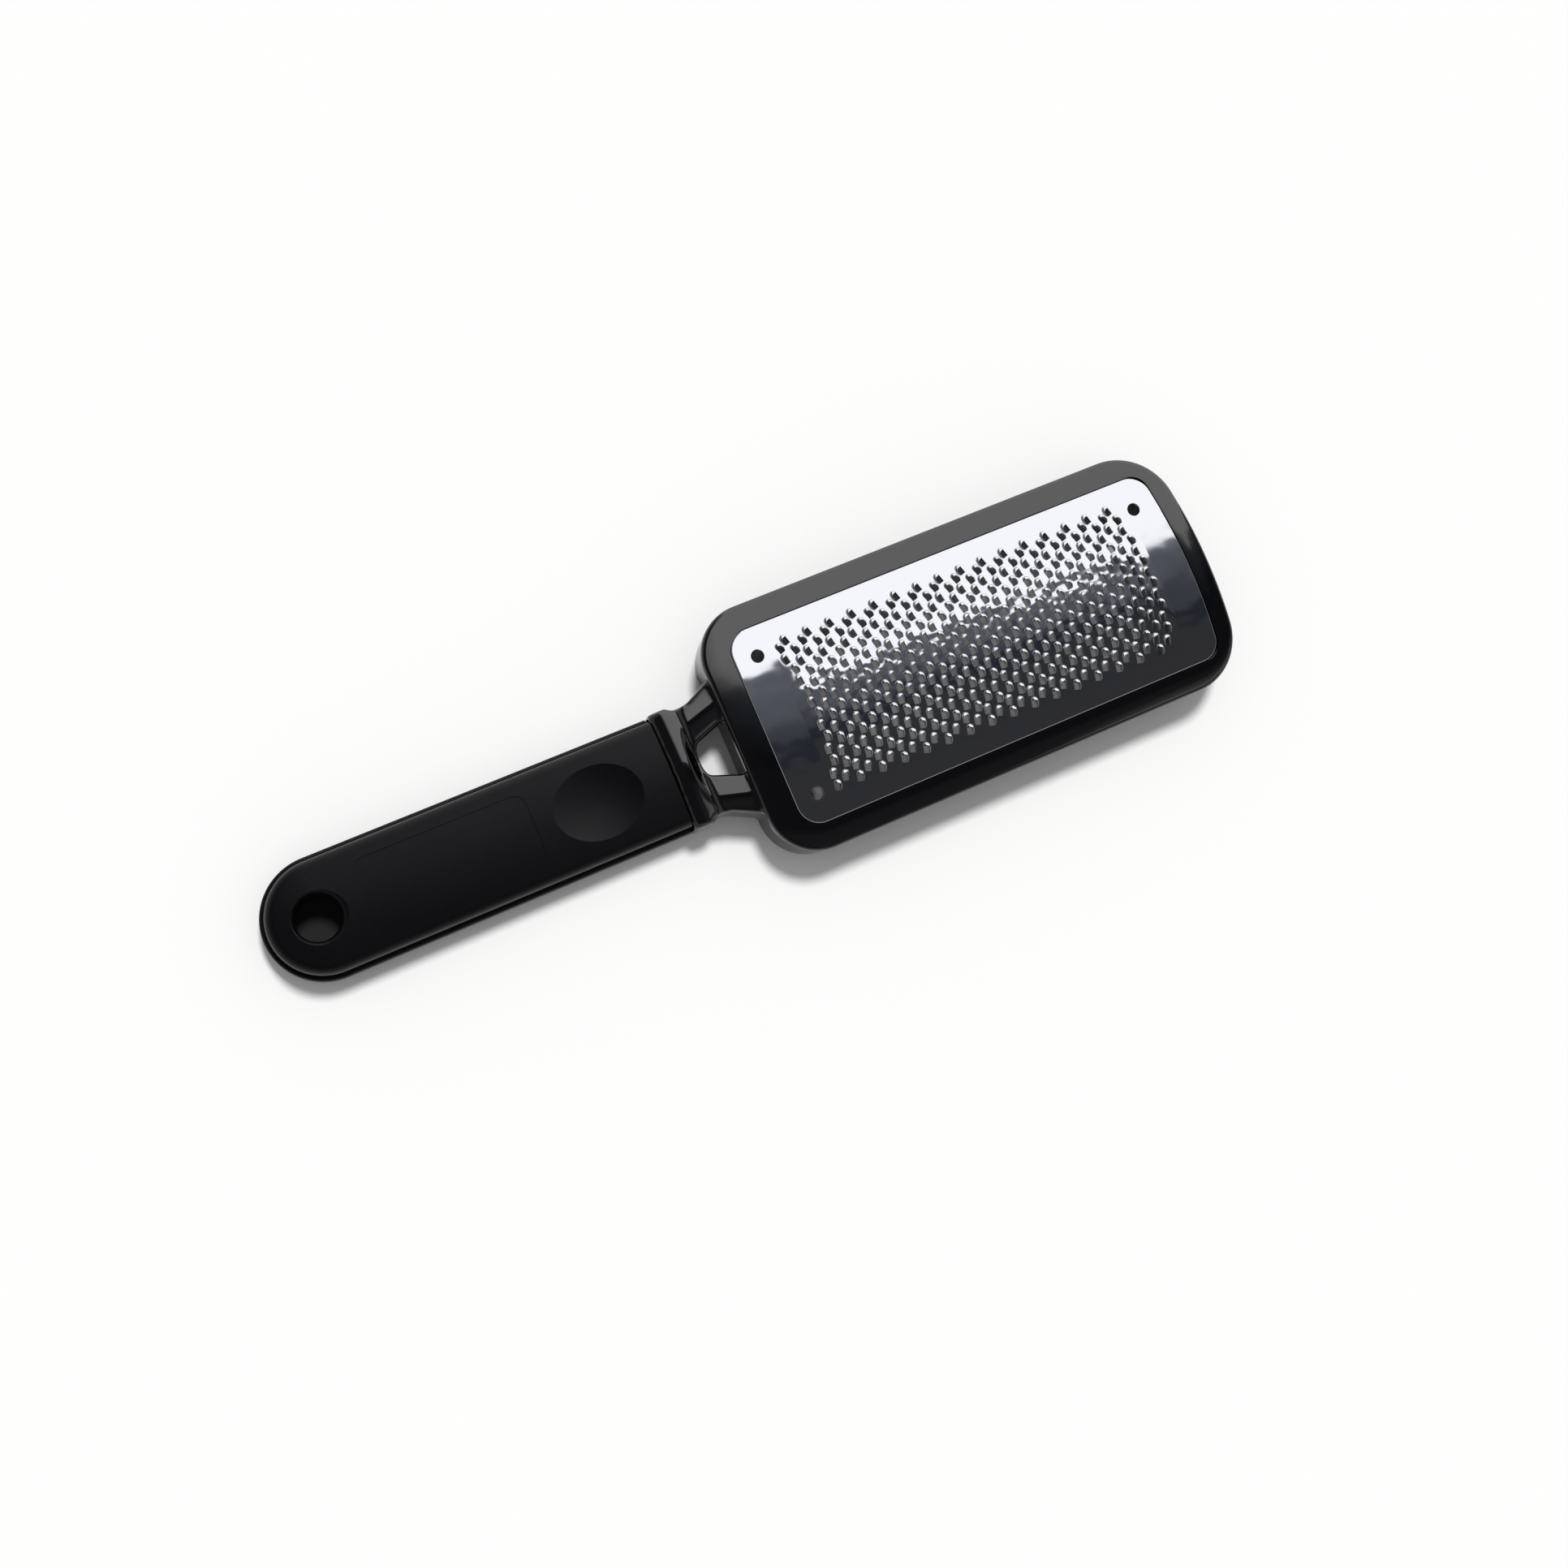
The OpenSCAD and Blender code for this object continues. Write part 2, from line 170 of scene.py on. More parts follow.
class RaspPlateSettings(bpy.types.PropertyGroup):
    """Sizes of the stamped plate and its teeth"""

    thickness: FloatProperty(
        name="Thickness", description="Thickness of the sheet", default=0.8 * MM, unit="LENGTH"
    )
    back_corner: FloatProperty(
        name="Back corners",
        description="Radius of the corners beside the neck",
        default=5.8 * MM,
        unit="LENGTH",
    )
    tip_corner: FloatProperty(
        name="Tip corners",
        description="Radius of the corners at the tip",
        default=4.8 * MM,
        unit="LENGTH",
    )
    tip_bow: FloatProperty(
        name="Tip bow",
        description="Radius of the bowed tip edge",
        default=139.8 * MM,
        unit="LENGTH",
    )
    edge_break: FloatProperty(
        name="Edge break",
        description="Width of the turned-down outer edge",
        default=0.28 * MM,
        unit="LENGTH",
    )
    columns: IntProperty(name="Columns", description="Teeth in one row", default=16, min=1)
    rows: IntProperty(name="Rows", description="Rows across the plate", default=26, min=2)
    pitch: FloatProperty(
        name="Pitch",
        description="Distance between teeth in a row",
        default=6.18 * MM,
        unit="LENGTH",
    )
    row_pitch: FloatProperty(
        name="Row pitch", description="Distance between rows", default=1.53 * MM, unit="LENGTH"
    )
    field_back: FloatProperty(
        name="Field start",
        description="Plate's back edge to the first tooth",
        default=14.7 * MM,
        unit="LENGTH",
    )
    column_bow: FloatProperty(
        name="Column bow",
        description="How far the columns bow to the tip",
        default=3.17 * MM,
        unit="LENGTH",
    )
    left_shift: FloatProperty(
        name="Left shift",
        description="Shift of the teeth that curl left",
        default=0.62 * MM,
        unit="LENGTH",
    )
    slot_length: FloatProperty(
        name="Slot length",
        description="Tooth opening along the plate",
        default=1.55 * MM,
        unit="LENGTH",
    )
    slot_width: FloatProperty(
        name="Slot width",
        description="Tooth opening across the plate",
        default=1.98 * MM,
        unit="LENGTH",
    )
    hood_height: FloatProperty(
        name="Hood height",
        description="Height of a tooth's curled edge",
        default=0.5 * MM,
        unit="LENGTH",
    )
    hood_width: FloatProperty(
        name="Hood width",
        description="Width of a tooth's raised far slope",
        default=0.82 * MM,
        unit="LENGTH",
    )
    side_width: FloatProperty(
        name="Side width",
        description="Width of the slope on a tooth's curled side",
        default=0.26 * MM,
        unit="LENGTH",
    )
    hole_radius: FloatProperty(
        name="Tooling hole",
        description="Radius of the three tooling holes",
        default=1.6 * MM,
        unit="LENGTH",
    )


class NeckSettings(bpy.types.PropertyGroup):
    """Where the moulded neck is rounded, and how much"""

    tang_cut: FloatProperty(
        name="Tang cut",
        description="Place along X where the rounded part starts, inside the grip",
        default=-24.7 * MM,
        unit="LENGTH",
    )
    collar_back: FloatProperty(
        name="Collar back", description="Back face of the collar", default=-24.0 * MM, unit="LENGTH"
    )
    collar_front: FloatProperty(
        name="Collar front",
        description="Front face of the collar",
        default=-17.5 * MM,
        unit="LENGTH",
    )
    head_back: FloatProperty(
        name="Head back", description="Back wall of the head", default=-7.0 * MM, unit="LENGTH"
    )
    grid: FloatProperty(
        name="Grid",
        description="Size of the rounded part's faces",
        default=0.3 * MM,
        unit="LENGTH",
    )
    passes: IntProperty(
        name="Passes", description="How often the rounded part is smoothed", default=24, min=1
    )
    crown: FloatProperty(
        name="Crown",
        description="How far the collar falls off to its edges",
        default=1.0 * MM,
        unit="LENGTH",
    )


class FinishSettings(bpy.types.PropertyGroup):
    """Colours and gloss of the three materials"""

    gloss_black: FloatVectorProperty(
        name="Frame",
        description="Colour of the glossy frame",
        default=(0.0008, 0.0008, 0.0012),
        size=3,
        subtype="COLOR",
    )
    gloss_roughness: FloatProperty(
        name="Frame roughness",
        description="Roughness of the frame",
        default=0.045,
        min=0,
        max=1,
        subtype="FACTOR",
    )
    soft_black: FloatVectorProperty(
        name="Grip",
        description="Colour of the soft-touch grip",
        default=(0.0015, 0.0015, 0.0024),
        size=3,
        subtype="COLOR",
    )
    soft_roughness: FloatProperty(
        name="Grip roughness",
        description="Roughness of the grip",
        default=0.4,
        min=0,
        max=1,
        subtype="FACTOR",
    )
    steel: FloatVectorProperty(
        name="Steel",
        description="Colour of the rasp plate",
        default=(0.52, 0.53, 0.55),
        size=3,
        subtype="COLOR",
    )
    steel_roughness: FloatProperty(
        name="Steel roughness",
        description="Roughness of the plate",
        default=0.015,
        min=0,
        max=1,
        subtype="FACTOR",
    )


class StageSettings(bpy.types.PropertyGroup):
    """Camera, lamp and floor"""

    camera_place: FloatVectorProperty(
        name="Camera",
        description="Place of the camera",
        default=(-0.1094, -0.0364, 0.4773),
        size=3,
        subtype="XYZ",
    )
    camera_turn: FloatVectorProperty(
        name="Camera turn",
        description="Turn of the camera about X, Y and Z",
        default=[math.radians(angle) for angle in (10.0219, -10.1907, -23.6439)],
        size=3,
        subtype="EULER",
    )
    lens: FloatProperty(
        name="Lens", description="Focal length on a 36 mm sensor", default=44.72, unit="CAMERA"
    )
    shift: FloatVectorProperty(
        name="Shift", description="Sensor shift", default=(0.0199, -0.0468), size=2
    )
    floor_size: FloatProperty(
        name="Floor", description="Width of the floor", default=4.0, unit="LENGTH"
    )
    sun_strength: FloatProperty(
        name="Lamp", description="Strength of the main lamp", default=2.25, min=0
    )
    sun_angle: FloatProperty(
        name="Lamp angle",
        description="Apparent width of the lamp",
        default=math.radians(12),
        subtype="ANGLE",
    )
    sun_lean: FloatVectorProperty(
        name="Lamp direction",
        description="Direction towards the lamp",
        default=(0.2, 0.42, 1.0),
        size=3,
        subtype="XYZ",
    )


# Shader helpers. A value is a node's output or a constant.


def feed(tree, socket, value):
    """Links an output to an input, or sets the input to a constant"""
    if isinstance(value, bpy.types.NodeSocket):
        tree.links.new(value, socket)
    else:
        socket.default_value = value


def add_node(tree, kind, values):
    """A new node whose named inputs get values"""
    node = tree.nodes.new(kind)
    for name, value in values.items():
        feed(tree, node.inputs[name], value)
    return node


def calc(tree, operation, first, second=None, clamp=False):
    """The result of a math node"""
    node = tree.nodes.new("ShaderNodeMath")
    node.operation = operation
    node.use_clamp = clamp
    feed(tree, node.inputs[0], first)
    if second is not None:
        feed(tree, node.inputs[1], second)
    return node.outputs[0]


def away_from(tree, value, middle):
    """How far a value is from a middle"""
    return calc(tree, "ABSOLUTE", calc(tree, "SUBTRACT", value, middle))


def within(tree, value, reach, steepness):
    """1 where a value is well below a reach, and 0 above it"""
    return calc(tree, "MULTIPLY", calc(tree, "SUBTRACT", reach, value), steepness, clamp=True)


def split(tree, place):
    """The X, Y and Z outputs of a place or direction"""
    return add_node(tree, "ShaderNodeSeparateXYZ", {"Vector": place}).outputs


def noise(tree, place, scale, detail=2):
    """The value of a noise"""
    values = {"Vector": place, "Scale": scale, "Detail": detail}
    return add_node(tree, "ShaderNodeTexNoise", values).outputs["Fac"]


def bump(tree, height, distance, normal=None):
    """The normal that a height gives, over another normal where one is given"""
    values = {"Height": height, "Distance": distance}
    if normal:
        values["Normal"] = normal
    return add_node(tree, "ShaderNodeBump", values).outputs["Normal"]


def mix(tree, factor, first, second, blend="MIX"):
    """The colour between two colours"""
    node = tree.nodes.new("ShaderNodeMix")
    node.data_type = "RGBA"
    node.blend_type = blend
    for name, value in (("Factor", factor), ("A", first), ("B", second)):
        feed(tree, node.inputs[name], value)
    return node.outputs["Result"]


def ramp(tree, factor, stops):
    """The colour of a ramp through stops of place and colour"""
    node = add_node(tree, "ShaderNodeValToRGB", {"Fac": factor})
    elements = node.color_ramp.elements
    elements[0].position, elements[0].color = stops[0][0], (*stops[0][1], 1)
    elements[1].position, elements[1].color = stops[-1][0], (*stops[-1][1], 1)
    for position, colour in stops[1:-1]:
        elements.new(position).color = (*colour, 1)
    return node.outputs["Color"]


def new_material(name):
    """An empty node material and its node tree"""
    material = bpy.data.materials.new(name)
    material.use_nodes = True
    material.node_tree.nodes.clear()
    return material, material.node_tree


def moulded_skin_group():
    """Node group of the plastics: fine grain as a height, and a slowly changing roughness"""
    name = "Moulded skin"
    if name in bpy.data.node_groups:
        return bpy.data.node_groups[name]
    tree = bpy.data.node_groups.new(name, "ShaderNodeTree")
    for label, value in (("Grain scale", 4000.0), ("Roughness", 0.5), ("Roughness spread", 0.05)):
        socket = tree.interface.new_socket(label, in_out="INPUT", socket_type="NodeSocketFloat")
        socket.default_value = value
    for label in ("Height", "Roughness"):
        tree.interface.new_socket(label, in_out="OUTPUT", socket_type="NodeSocketFloat")
    inputs = tree.nodes.new("NodeGroupInput").outputs
    place = tree.nodes.new("ShaderNodeTexCoord").outputs["Object"]
    cloud = noise(tree, place, CLOUD_SCALE, 4)
    swing = calc(tree, "MULTIPLY", calc(tree, "SUBTRACT", cloud, 0.5), inputs["Roughness spread"])
    results = {
        "Height": noise(tree, place, inputs["Grain scale"], 3),
        "Roughness": calc(tree, "ADD", swing, inputs["Roughness"]),
    }
    add_node(tree, "NodeGroupOutput", results)
    return tree


def plastic(name, colour, roughness, spread, specular, grain_scale, grain_height):
    """A moulded plastic whose grain, roughness and slow unevenness come from its own place"""
    material, tree = new_material(name)
    place = tree.nodes.new("ShaderNodeTexCoord").outputs["Object"]
    skin = tree.nodes.new("ShaderNodeGroup")
    skin.node_tree = moulded_skin_group()
    skin.inputs["Grain scale"].default_value = grain_scale
    skin.inputs["Roughness"].default_value = roughness
    skin.inputs["Roughness spread"].default_value = spread
    slow = bump(tree, noise(tree, place, SINK_SCALE), SINK_HEIGHT)
    look = {
        "Base Color": (*colour, 1),
        "Specular IOR Level": specular,
        "Roughness": skin.outputs["Roughness"],
        "Normal": bump(tree, skin.outputs["Height"], grain_height, slow),
    }
    shader = add_node(tree, "ShaderNodeBsdfPrincipled", look)
    add_node(tree, "ShaderNodeOutputMaterial", {"Surface": shader.outputs[0]})
    return material


def gloss_plastic(finish):
    """The frame's glossy black"""
    return plastic(
        "Gloss black moulding",
        finish.gloss_black,
        finish.gloss_roughness,
        spread=0.03,
        specular=0.8,
        grain_scale=1500,
        grain_height=0.0002 * MM,
    )


def soft_plastic(finish):
    """The grip's matt black"""
    return plastic(
        "Soft black moulding",
        finish.soft_black,
        finish.soft_roughness,
        spread=0.12,
        specular=0.22,
        grain_scale=2600,
        grain_height=0.02 * MM,
    )


def polished_steel(finish):
    """Bright rolled sheet: a slightly wavy mirror with faint rolling marks along the plate"""
    material, tree = new_material("Polished steel")
    place = tree.nodes.new("ShaderNodeTexCoord").outputs["Object"]
    axis = split(tree, place)
    off_x = away_from(tree, axis["X"], FIELD_MIDDLE)
    off_y = calc(tree, "ABSOLUTE", axis["Y"])
    in_x = within(tree, off_x, FIELD_HALF_LENGTH, 1 / FIELD_FADE)
    in_y = within(tree, off_y, FIELD_HALF_WIDTH, 1 / FIELD_FADE)
    field = calc(tree, "MULTIPLY", in_x, in_y)
    fall = calc(tree, "POWER", calc(tree, "DIVIDE", off_y, DOME_HALF_WIDTH), 2)
    stretched = add_node(
        tree, "ShaderNodeMapping", {"Vector": place, "Scale": ROLLING_SCALE}
    ).outputs[0]
    rolling = noise(tree, stretched, 1, 3)
    normal = None
    for height, distance in (
        (noise(tree, place, WAVE_SCALE), WAVE_HEIGHT),
        (noise(tree, place, RIPPLE_SCALE, 1), RIPPLE_HEIGHT),
        (rolling, ROLLING_HEIGHT),
        (calc(tree, "MULTIPLY", calc(tree, "SUBTRACT", 1, fall), field), DOME_HEIGHT),
        (calc(tree, "MULTIPLY", noise(tree, place, DENT_SCALE, 1), field), DENT_HEIGHT),
    ):
        normal = bump(tree, height, distance, normal)
    swing = calc(tree, "MULTIPLY", rolling, ROLLING_ROUGHNESS)
    look = {
        "Base Color": (*finish.steel, 1),
        "Metallic": 1,
        "Roughness": calc(tree, "ADD", swing, finish.steel_roughness),
        "Normal": normal,
    }
    shader = add_node(tree, "ShaderNodeBsdfPrincipled", look)
    add_node(tree, "ShaderNodeOutputMaterial", {"Surface": shader.outputs[0]})
    return material


# Mesh helpers


def new_piece(context, name, mesh, material):
    """An object with one material, made of a mesh that is used up"""
    data = bpy.data.meshes.new(name)
    mesh.to_mesh(data)
    mesh.free()
    data.materials.append(material)
    piece = bpy.data.objects.new(name, data)
    context.scene.collection.objects.link(piece)
    return piece


def largest_face(mesh, height):
    """The largest of a mesh's faces that lie at a height"""
    level = (f for f in mesh.faces if abs(f.calc_center_median().z - height) < NEAR)
    return max(level, key=lambda f: f.calc_area())


def outline_face(mesh, plate, height, inset):
    """Adds the plate's outline at a height, set back by inset, as one face"""
    low, high = PLATE_LOW, PLATE_HIGH
    reach = (high.y - low.y) / 2 - inset
    radius = plate.tip_bow - inset

    def bow_x(y):
        return high.x - plate.tip_bow + math.sqrt(radius * radius - y * y)

    back, tip = low.x + inset, bow_x(reach)
    corners = (
        (back, -reach, plate.back_corner),
        (tip, -reach, plate.tip_corner),
        (tip, reach, plate.tip_corner),
        (back, reach, plate.back_corner),
    )
    mesh.faces.new([mesh.verts.new((x, y, height)) for x, y, _ in corners])
    for x, y, size in corners:
        corner = min(mesh.verts, key=lambda v: (v.co - Vector((x, y, height))).length)
        bmesh.ops.bevel(
            mesh,
            geom=[corner],
            offset=size - inset,
            offset_type="OFFSET",
            affect="VERTICES",
            segments=CORNER_SEGMENTS,
            profile=0.5,
            material=-1,
        )
    edges = largest_face(mesh, height).edges
    tip_edge = max(edges, key=lambda e: min(e.verts[0].co.x, e.verts[1].co.x))
    bmesh.ops.subdivide_edges(mesh, edges=[tip_edge], cuts=TIP_CUTS)
    outline = largest_face(mesh, height)
    for vert in outline.verts:
        if vert.co.x > (low.x + high.x) / 2:
            vert.co.x += bow_x(vert.co.y) - tip
    return outline


def cut_across(mesh, x, side):
    """Cuts a closed mesh at a plane across X, drops what lies to side and closes the cut"""
    bmesh.ops.bisect_plane(
        mesh,
        geom=mesh.verts[:] + mesh.edges[:] + mesh.faces[:],
        dist=NEAR,
        plane_co=(x, 0, 0),
        plane_no=(side, 0, 0),
        clear_outer=True,
    )
    bmesh.ops.triangle_fill(mesh, use_beauty=True, edges=[e for e in mesh.edges if e.is_boundary])


def smooth_under(mesh, angle):
    """Shades a mesh smooth, apart from edges sharper than an angle in degrees"""
    mesh.normal_update()
    for face in mesh.faces:
        face.smooth = True
    for edge in mesh.edges:
        edge.smooth = edge.calc_face_angle(0) < math.radians(angle)


def relax(mesh, verts, passes):
    """Draws vertices towards their neighbours, pass after pass"""
    for _ in range(passes):
        bmesh.ops.smooth_vert(
            mesh, verts=verts, factor=0.5, use_axis_x=True, use_axis_y=True, use_axis_z=True
        )


def fine_grid(context, mesh, size):
    """A closed mesh, which is used up, made again as an even grid of small faces"""
    data = bpy.data.meshes.new("grid")
    mesh.to_mesh(data)
    mesh.free()
    holder = bpy.data.objects.new("grid", data)
    context.scene.collection.objects.link(holder)
    remesh = holder.modifiers.new("Grid", "REMESH")
    remesh.mode = "VOXEL"
    remesh.voxel_size = size
    context.view_layer.update()
    made = holder.evaluated_get(context.evaluated_depsgraph_get())
    fine = bmesh.new()
    fine.from_mesh(made.data)
    bpy.data.objects.remove(holder)
    bpy.data.meshes.remove(data)
    return fine


def eased(value):
    """A smooth step from 0 to 1"""
    value = min(max(value, 0), 1)
    return value * value * (3 - 2 * value)


class FOOTFILE_OT_frame_finish(bpy.types.Operator):
    """Gives the frame its glossy black, and its neck and collar rounded edges and fillets"""

    bl_idname = "footfile.frame_finish"
    bl_label = "Frame finish"

    def execute(self, context):
        neck = context.scene.footfile_neck
        whole = bmesh.new()
        whole.from_mesh(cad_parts["frame"].data)
        bmesh.ops.remove_doubles(whole, verts=whole.verts, dist=WELD)
        head, tang = whole.copy(), whole.copy()
        cut_across(head, neck.head_back - HEAD_REACH, -1)
        cut_across(tang, neck.collar_back - TANG_GAP, 1)
        middle = self.rounded_neck(context, whole, neck)
        parts = bmesh.new()
        for part, crease in ((head, MOULD_CREASE), (tang, MOULD_CREASE), (middle, NO_CREASE)):
            smooth_under(part, crease)
            data = bpy.data.meshes.new("part")
            part.to_mesh(data)
            part.free()
            parts.from_mesh(data)
            bpy.data.meshes.remove(data)
        material = gloss_plastic(context.scene.footfile_finish)
        piece = new_piece(context, "moulded_frame", parts, material)
        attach(piece, "root")
        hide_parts("frame")
        return {"FINISHED"}

    def rounded_neck(self, context, mesh, neck):
        """The neck and collar cut out of the frame, rounded and crowned"""
        cut_across(mesh, neck.tang_cut, -1)
        cut_across(mesh, neck.head_back + NECK_REACH, 1)
        mesh = fine_grid(context, mesh, neck.grid)
        relax(mesh, mesh.verts, neck.passes)
        front = [v for v in mesh.verts if abs(v.co.x - neck.collar_front) < FRONT_REACH]
        relax(mesh, front, neck.passes * FRONT_PASSES)
        self.crown_collar(mesh, neck)
        for vert in mesh.verts:
            depth = vert.co.x - neck.head_back + PUSH_START
            vert.co.x += NECK_PUSH * eased(depth / PUSH_LENGTH)
        return mesh

    def crown_collar(self, mesh, neck):
        """Lets the collar's upper half fall off towards its two edges"""
        half = (neck.collar_front - neck.collar_back) / 2
        centre = neck.collar_front - CROWN_BACK * half
        for vert in mesh.verts:
            off = abs(vert.co.x - centre) / half
            fall = neck.crown * min(off, 1) ** 2 * (1 - eased((off - CROWN_END) / CROWN_FADE))
            vert.co.z -= fall * eased((vert.co.z - CROWN_FOOT) / CROWN_RISE)


class FOOTFILE_OT_grip_finish(bpy.types.Operator):
    """Gives the grip its soft matt black"""

    bl_idname = "footfile.grip_finish"
    bl_label = "Grip finish"

    def execute(self, context):
        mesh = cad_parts["grip"].data
        mesh.materials.clear()
        mesh.materials.append(soft_plastic(context.scene.footfile_finish))
        return {"FINISHED"}


def hood_share(place, half_length, half_width):
    """How far a tooth's edge is raised: 1 at its far edge, less down its curled side, then 0"""
    angle = math.degrees(math.atan2(place.y / half_width, place.x / half_length))
    return eased((HOOD_END - abs(angle - HOOD_MIDDLE)) / HOOD_FADE)


def tooth_mesh(plate):
    """One tooth round its own centre, its flat side to -X: outer slope, edge and inner wall"""
    half_l, half_w = plate.slot_length / 2, plate.slot_width / 2
    mesh = bmesh.new()
    verts = [mesh.verts.new((half_l * x, half_w * y, 0)) for x, y in TOOTH_CORNERS]
    mesh.faces.new(verts)
    bmesh.ops.bevel(
        mesh,
        geom=verts[TOOTH_ROUNDED],
        offset=TOOTH_ROUNDING,
        affect="VERTICES",
        segments=2,
        profile=0.5,
        material=-1,
    )
    long_edges = [e for e in mesh.edges if e.calc_length() > TOOTH_LONG_EDGE]
    bmesh.ops.subdivide_edges(mesh, edges=long_edges, cuts=1)
    mesh.faces.ensure_lookup_table()
    opening = mesh.faces[0]
    crest = list(opening.edges)
    crest_shares = {v: hood_share(v.co, half_l, half_w) for v in opening.verts}
    bmesh.ops.delete(mesh, geom=[opening], context="FACES_ONLY")

    def ring(edges, shares, move):
        """Adds a ring of faces, moves its new vertices and hands their shares on"""
        made = bmesh.ops.extrude_edge_only(mesh, edges=edges)["geom"]
        new_edges = [g for g in made if isinstance(g, bmesh.types.BMEdge) and g.is_boundary]
        new_shares = {}
        for vert in dict.fromkeys(v for e in new_edges for v in e.verts):
            source = next(
                e.other_vert(vert) for e in vert.link_edges if e.other_vert(vert) in shares
            )
            new_shares[vert] = shares[source]
            move(vert, new_shares[vert])
        return new_edges, new_shares

    def direction_of(vert):
        return Vector((vert.co.x / half_l, vert.co.y / half_w, 0)).normalized()

    def outwards(reach, height):
        def move(vert, raised):
            direction = direction_of(vert)
            far = max(direction.y, 0)
            width = plate.side_width + (plate.hood_width - plate.side_width) * far * far
            vert.co += direction * (TOOTH_FOOT + width * raised) * reach
            vert.co.z = plate.hood_height * raised * height

        return move

    def inwards(inset, lift, depth):
        def move(vert, raised):
            vert.co -= direction_of(vert) * inset
            vert.co.z = plate.hood_height * raised * lift - depth

        return move

    edges, shares = crest, crest_shares
    for reach, height in OUTER_RINGS:
        edges, shares = ring(edges, shares, outwards(reach, height))
    lip, lip_shares = ring(crest, crest_shares, inwards(LIP_INSET, 1, LIP_DEPTH))
    ring(lip, lip_shares, inwards(WALL_INSET, 0, plate.thickness))
    for vert, raised in crest_shares.items():
        vert.co.z = plate.hood_height * raised
    bmesh.ops.recalc_face_normals(mesh, faces=mesh.faces)
    return mesh


def tooth_places(plate, back_x):
    """Place, lean and curl of every tooth"""
    middle = (plate.rows - 1) / 2
    for row in range(plate.rows):
        across = (row - middle) / middle
        curls_left = (row + 1) // 2 % 2 == 0
        half_step = 0.5 if row % 2 == 0 else 0
        for column in range(plate.columns):
            x = back_x + plate.field_back + plate.pitch * (column + half_step)
            x -= plate.column_bow * across * across + (plate.left_shift if curls_left else 0)
            y = (middle - row) * plate.row_pitch + FIELD_SHIFT
            lean = math.atan(2 * plate.column_bow * across / (middle * plate.row_pitch))
            yield Vector((x, y, 0)), -lean, curls_left


def boundary_at(mesh, height):
    """The open edges of a mesh that lie at a height"""
    return [
        e
        for e in mesh.edges
        if e.is_boundary and all(abs(v.co.z - height) < WELD for v in e.verts)
    ]


class FOOTFILE_OT_rasp_plate(bpy.types.Operator):
    """Makes the stamped rasp plate with its hooded teeth"""

    bl_idname = "footfile.rasp_plate"
    bl_label = "Rasp plate"

    def execute(self, context):
        plate = context.scene.footfile_plate
        face_z = PLATE_LOW.z + plate.thickness
        mesh = bmesh.new()
        self.teeth(mesh, plate, face_z)
        for along, across in TOOLING_HOLES:
            self.tooling_hole(mesh, plate, Vector((PLATE_LOW.x + along, across, face_z)))
        self.outer_edge(mesh, plate, face_z)
        for height in (face_z, PLATE_LOW.z):
            bmesh.ops.triangle_fill(mesh, use_beauty=True, edges=boundary_at(mesh, height))
        bmesh.ops.recalc_face_normals(mesh, faces=mesh.faces)
        smooth_under(mesh, SHEET_CREASE)
        for face in mesh.faces:
            face.smooth = abs(face.normal.z) < FLAT_Z
        material = polished_steel(context.scene.footfile_finish)
        piece = new_piece(context, "rasp_sheet", mesh, material)
        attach(piece, "root")
        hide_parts("rasp_plate")
        return {"FINISHED"}

    def teeth(self, mesh, plate, face_z):
        """Sets every tooth in its place"""
        tooth = tooth_mesh(plate)
        right = bpy.data.meshes.new("tooth_right")
        tooth.to_mesh(right)
        bmesh.ops.transform(tooth, matrix=Matrix.Scale(-1, 4, (1, 0, 0)), verts=tooth.verts)
        bmesh.ops.reverse_faces(tooth, faces=tooth.faces)
        left = bpy.data.meshes.new("tooth_left")
        tooth.to_mesh(left)
        tooth.free()
        for place, lean, curls_left in tooth_places(plate, PLATE_LOW.x):
            first = len(mesh.verts)
            mesh.from_mesh(left if curls_left else right)
            mesh.verts.ensure_lookup_table()
            place.z = face_z
            turn = Matrix.Translation(place) @ Matrix.Rotation(lean, 4, "Z")
            bmesh.ops.transform(mesh, matrix=turn, verts=mesh.verts[first:])
        for spare in (left, right):
            bpy.data.meshes.remove(spare)

    def tooling_hole(self, mesh, plate, centre):
        """A round hole with a small bevel round its upper edge"""
        loops = []
        for radius, depth in (
            (plate.hole_radius + HOLE_BEVEL, 0),
            (plate.hole_radius, HOLE_BEVEL),
            (plate.hole_radius, plate.thickness),
        ):
            circle = bmesh.ops.create_circle(
                mesh,
                cap_ends=False,
                segments=HOLE_SEGMENTS,
                radius=radius,
                matrix=Matrix.Translation(centre - Vector((0, 0, depth))),
            )
            loops.append(list(dict.fromkeys(e for v in circle["verts"] for e in v.link_edges)))
        for upper, lower in zip(loops, loops[1:]):
            bmesh.ops.bridge_loops(mesh, edges=upper + lower)

    def outer_edge(self, mesh, plate, face_z):
        """The plate's turned-down outer edge, as rings from its face to its underside"""
        levels = [(face_z, plate.edge_break)]
        levels += [(face_z - depth, inset) for depth, inset in EDGE_RINGS]
        levels += [(PLATE_LOW.z, 0.0)]
        rings = []
        for height, inset in levels:
            face = outline_face(mesh, plate, height, inset)
            rings.append(list(face.edges))
            bmesh.ops.delete(mesh, geom=[face], context="FACES_ONLY")
        for upper, lower in zip(rings, rings[1:]):
            bmesh.ops.bridge_loops(mesh, edges=upper + lower)


